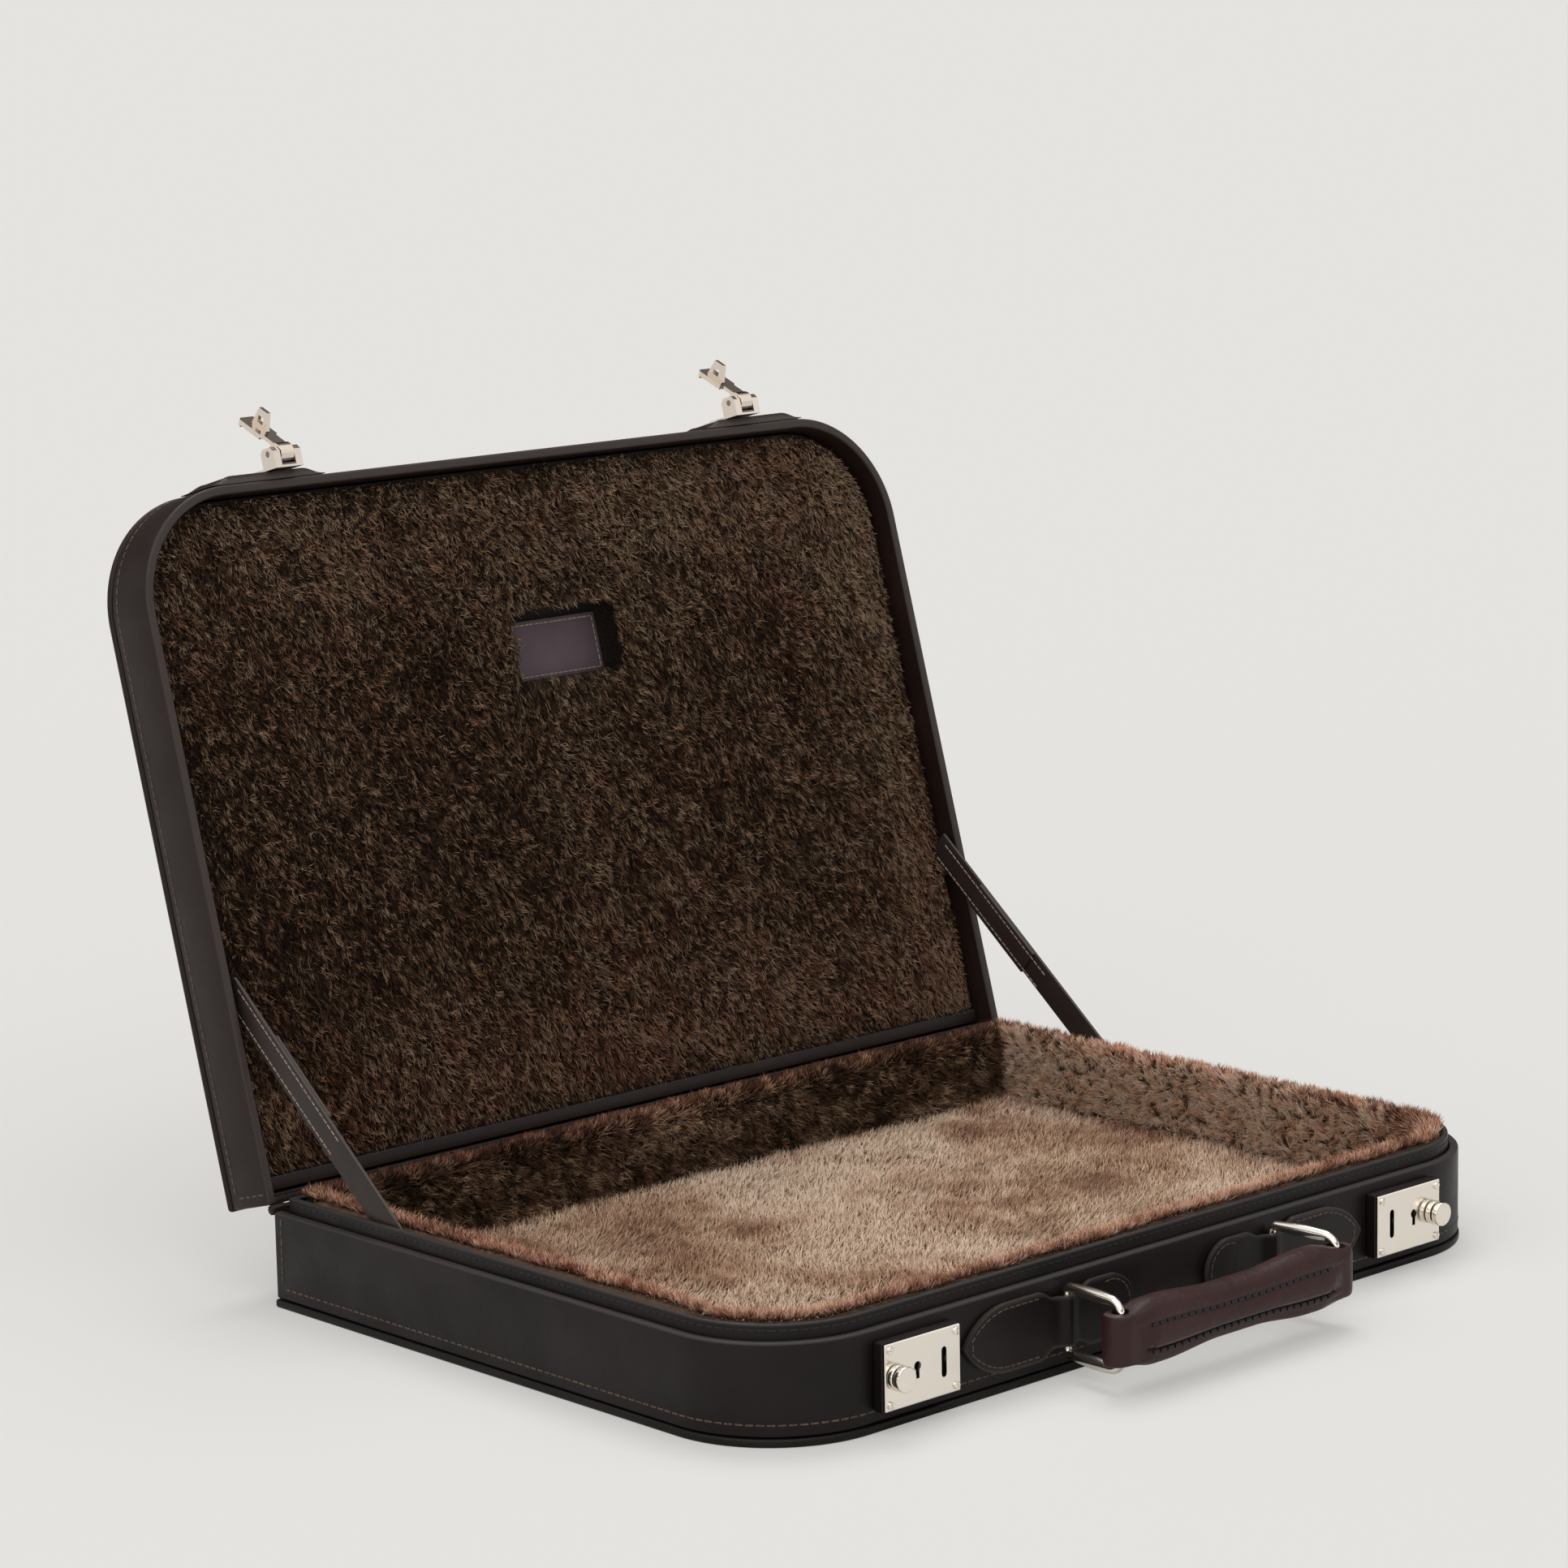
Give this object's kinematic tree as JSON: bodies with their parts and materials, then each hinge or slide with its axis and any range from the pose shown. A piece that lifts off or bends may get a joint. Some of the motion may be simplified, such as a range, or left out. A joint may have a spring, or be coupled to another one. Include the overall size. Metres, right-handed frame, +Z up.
{
  "type": "laptop case",
  "caption": "Rigid leather laptop case standing open, fur lined, with two push locks and hasps, a padded handle on swinging rings and strap lid stays.",
  "frame": {"origin": "middle of the base's underside", "axes": "+X to the right seen from the front, -Y towards the locks and handle, +Z up"},
  "size_m": [0.421, 0.4406, 0.3496],
  "materials": {
    "leather": "smooth dark brown leather, lightly grained and polished",
    "grip_leather": "smooth aubergine brown leather",
    "label_leather": "smooth leather, left bare",
    "floor_fur": "taupe fur",
    "wall_fur": "brown fur",
    "lid_fur": "dark brown fur",
    "nickel": "polished nickel plate",
    "steel": "plain steel"
  },
  "bodies": {
    "base": {"base_bottom": "leather", "base_wall": "leather", "base_lip": "leather", "base_fur_floor": "floor_fur", "base_fur_front": "wall_fur", "base_fur_left": "wall_fur", "base_fur_right": "wall_fur", "base_fur_rear": "wall_fur", "hinge_leaf_base": "steel", "hinge_pin": "steel", "stay_left": "leather", "stay_right": "leather", "handle_tab_left": "leather", "handle_tab_right": "leather", "lock_block_left": "leather", "lock_plate_left": "nickel", "lock_collar_left": "nickel", "lock_spring_left": "steel", "lock_screw_left_1": "nickel", "lock_screw_left_2": "nickel", "lock_screw_left_3": "nickel", "lock_screw_left_4": "nickel", "lock_block_right": "leather", "lock_plate_right": "nickel", "lock_collar_right": "nickel", "lock_spring_right": "steel", "lock_screw_right_1": "nickel", "lock_screw_right_2": "nickel", "lock_screw_right_3": "nickel", "lock_screw_right_4": "nickel"},
    "lid": {"lid_wall": "leather", "lid_panel": "leather", "lid_fur": "lid_fur", "lid_label": "label_leather", "hinge_leaf_lid": "steel", "hasp_pad_left": "leather", "hasp_plate_left": "nickel", "hasp_pin_left": "steel", "hasp_spring_left": "steel", "hasp_screw_left_1": "nickel", "hasp_screw_left_2": "nickel", "hasp_pad_right": "leather", "hasp_plate_right": "nickel", "hasp_pin_right": "steel", "hasp_spring_right": "steel", "hasp_screw_right_1": "nickel", "hasp_screw_right_2": "nickel"},
    "hasp_flap_left": {"hasp_flap_left": "nickel"},
    "hasp_flap_right": {"hasp_flap_right": "nickel"},
    "lock_knob_left": {"lock_knob_left": "nickel"},
    "lock_bolt_left": {"lock_bolt_left": "steel"},
    "lock_knob_right": {"lock_knob_right": "nickel"},
    "lock_bolt_right": {"lock_bolt_right": "steel"},
    "ring_left": {"ring_left": "nickel"},
    "handle": {"handle_grip": "grip_leather"},
    "ring_right": {"ring_right": "nickel"}
  },
  "joints": [
    {"name": "lid_close", "type": "hinge", "parent": "base", "child": "lid", "pos_m": [0, 0.14725, 0.0397], "axis": [1, 0, 0], "range_deg": [0, 105.6], "deforming": ["stay_left", "stay_right"]},
    {"name": "hasp_left_close", "type": "hinge", "parent": "lid", "child": "hasp_flap_left", "pos_m": [-0.129, 0.22842, 0.33152], "axis": [1, 0, 0], "range_deg": [0, 142]},
    {"name": "hasp_right_close", "type": "hinge", "parent": "lid", "child": "hasp_flap_right", "pos_m": [0.129, 0.22842, 0.33152], "axis": [1, 0, 0], "range_deg": [0, 142]},
    {"name": "knob_left_push", "type": "slide", "parent": "base", "child": "lock_knob_left", "axis": [0, 1, 0], "range_m": [0, 0.0008], "stiffness_N_per_m": 300, "deforming": ["lock_spring_left"]},
    {"name": "bolt_left_slide", "type": "slide", "parent": "base", "child": "lock_bolt_left", "axis": [1, 0, 0], "range_m": [0, 0.0016]},
    {"name": "knob_right_push", "type": "slide", "parent": "base", "child": "lock_knob_right", "axis": [0, 1, 0], "range_m": [0, 0.0008], "stiffness_N_per_m": 300, "deforming": ["lock_spring_right"]},
    {"name": "bolt_right_slide", "type": "slide", "parent": "base", "child": "lock_bolt_right", "axis": [-1, 0, 0], "range_m": [0, 0.0016]},
    {"name": "ring_left_swing", "type": "hinge", "parent": "base", "child": "ring_left", "pos_m": [-0.0585, -0.14805, 0.0219], "axis": [0, 0, 1], "range_deg": [-38, 38]},
    {"name": "handle_turn", "type": "hinge", "parent": "ring_left", "child": "handle", "pos_m": [-0.0615, -0.17865, 0.0219], "axis": [0, 0, 1], "range_deg": [-36.5, 36.5]},
    {"name": "ring_right_swing", "type": "hinge", "parent": "base", "child": "ring_right", "pos_m": [0.0585, -0.14805, 0.0219], "axis": [0, 0, 1], "range_deg": [-38, 38]}
  ],
  "couplings": [
    {"joint": "bolt_left_slide", "follows": "knob_left_push", "ratio": 2},
    {"joint": "bolt_right_slide", "follows": "knob_right_push", "ratio": 2},
    {"joint": "handle_turn", "follows": "ring_left_swing", "ratio": -0.958},
    {"joint": "ring_right_swing", "follows": "ring_left_swing", "ratio": 1}
  ]
}
